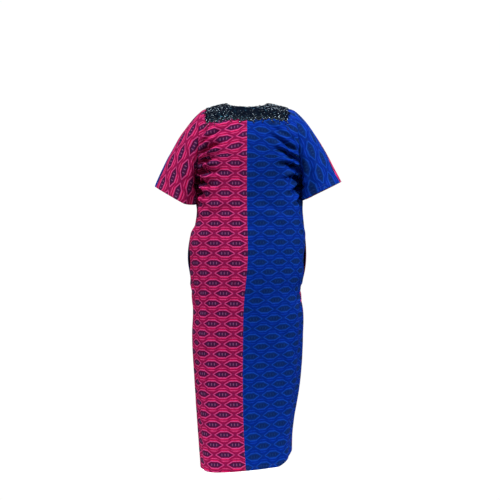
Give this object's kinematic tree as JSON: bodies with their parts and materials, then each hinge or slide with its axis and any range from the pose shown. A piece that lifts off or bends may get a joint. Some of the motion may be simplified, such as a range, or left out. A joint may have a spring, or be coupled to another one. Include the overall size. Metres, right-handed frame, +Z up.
{
  "type": "worn boubou robe",
  "caption": "Full-length worn boubou robe in two-colour wax print, with elbow-length bell sleeves, side-seam pockets and a black applique round the neck.",
  "frame": {"origin": "between the shoulders, level with the sides of the neck opening", "axes": "+Z up along the robe's length, -Y out of its front, +X to the wearer's left"},
  "size_m": [0.7503, 0.3556, 1.4537],
  "materials": {
    "rose_print": "matte waxed cotton, printed on both faces",
    "blue_print": "matte waxed cotton, printed on both faces",
    "black_applique": "beaded and sequinned lace"
  },
  "bodies": {
    "root": {"back_left": "rose_print", "back_right": "blue_print", "front_left": "blue_print", "front_right": "rose_print", "sleeve_left_back": "rose_print", "sleeve_left_front": "blue_print", "sleeve_right_back": "blue_print", "sleeve_right_front": "rose_print", "neck_applique": "black_applique", "pocket_left_front": "blue_print", "pocket_left_back": "rose_print", "pocket_right_front": "rose_print", "pocket_right_back": "blue_print"}
  },
  "joints": []
}
